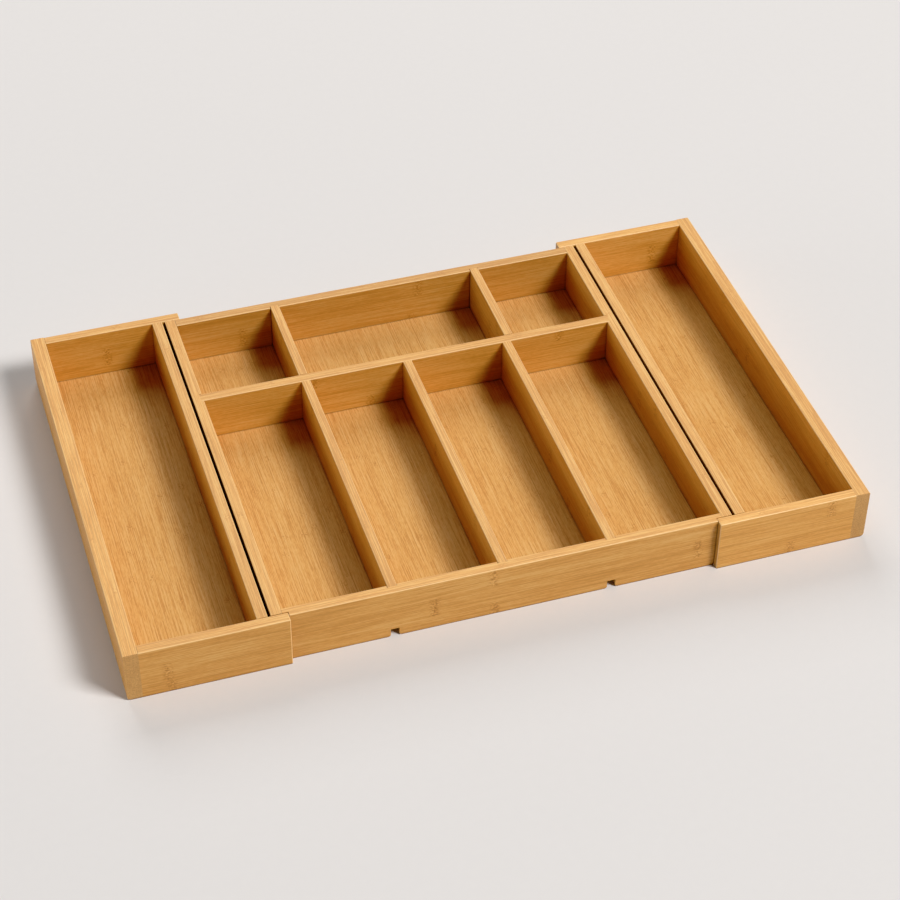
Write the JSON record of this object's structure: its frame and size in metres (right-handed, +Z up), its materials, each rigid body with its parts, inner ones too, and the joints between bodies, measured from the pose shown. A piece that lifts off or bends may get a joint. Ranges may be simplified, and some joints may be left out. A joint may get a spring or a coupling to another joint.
{
  "type": "expandable cutlery tray",
  "caption": "Expandable bamboo drawer tray for cutlery: a divided centre tray between end bins that slide outwards.",
  "frame": {"origin": "centre of the underside of the whole tray, on the surface it stands on, bins pushed in", "axes": "+X along the tray from the left bin to the right bin, +Y from front to back, +Z up"},
  "size_m": [0.6372, 0.4088, 0.05],
  "materials": {
    "floors": "satin lacquered bamboo",
    "dividers": "satin lacquered bamboo",
    "centre_walls": "satin lacquered bamboo",
    "outer_boards": "satin lacquered bamboo",
    "bin_boards": "satin lacquered bamboo"
  },
  "bodies": {
    "centre_tray": {"centre_floor": "floors", "centre_left_wall": "centre_walls", "centre_right_wall": "centre_walls", "centre_front_wall": "centre_walls", "centre_back_wall": "centre_walls", "cross_divider": "dividers", "front_divider_left": "dividers", "front_divider_middle": "dividers", "front_divider_right": "dividers", "back_divider_left": "dividers", "back_divider_right": "dividers"},
    "left_bin": {"left_bin_outer_board": "outer_boards", "left_bin_front_board": "bin_boards", "left_bin_back_board": "bin_boards", "left_bin_inner_wall": "bin_boards", "left_bin_floor": "floors"},
    "right_bin": {"right_bin_outer_board": "outer_boards", "right_bin_front_board": "bin_boards", "right_bin_back_board": "bin_boards", "right_bin_inner_wall": "bin_boards", "right_bin_floor": "floors"}
  },
  "joints": [
    {"name": "left_bin_slide", "type": "slide", "parent": "centre_tray", "child": "left_bin", "axis": [-1, 0, 0], "range_m": [0, 0.01]},
    {"name": "right_bin_slide", "type": "slide", "parent": "centre_tray", "child": "right_bin", "axis": [1, 0, 0], "range_m": [0, 0.01]}
  ]
}
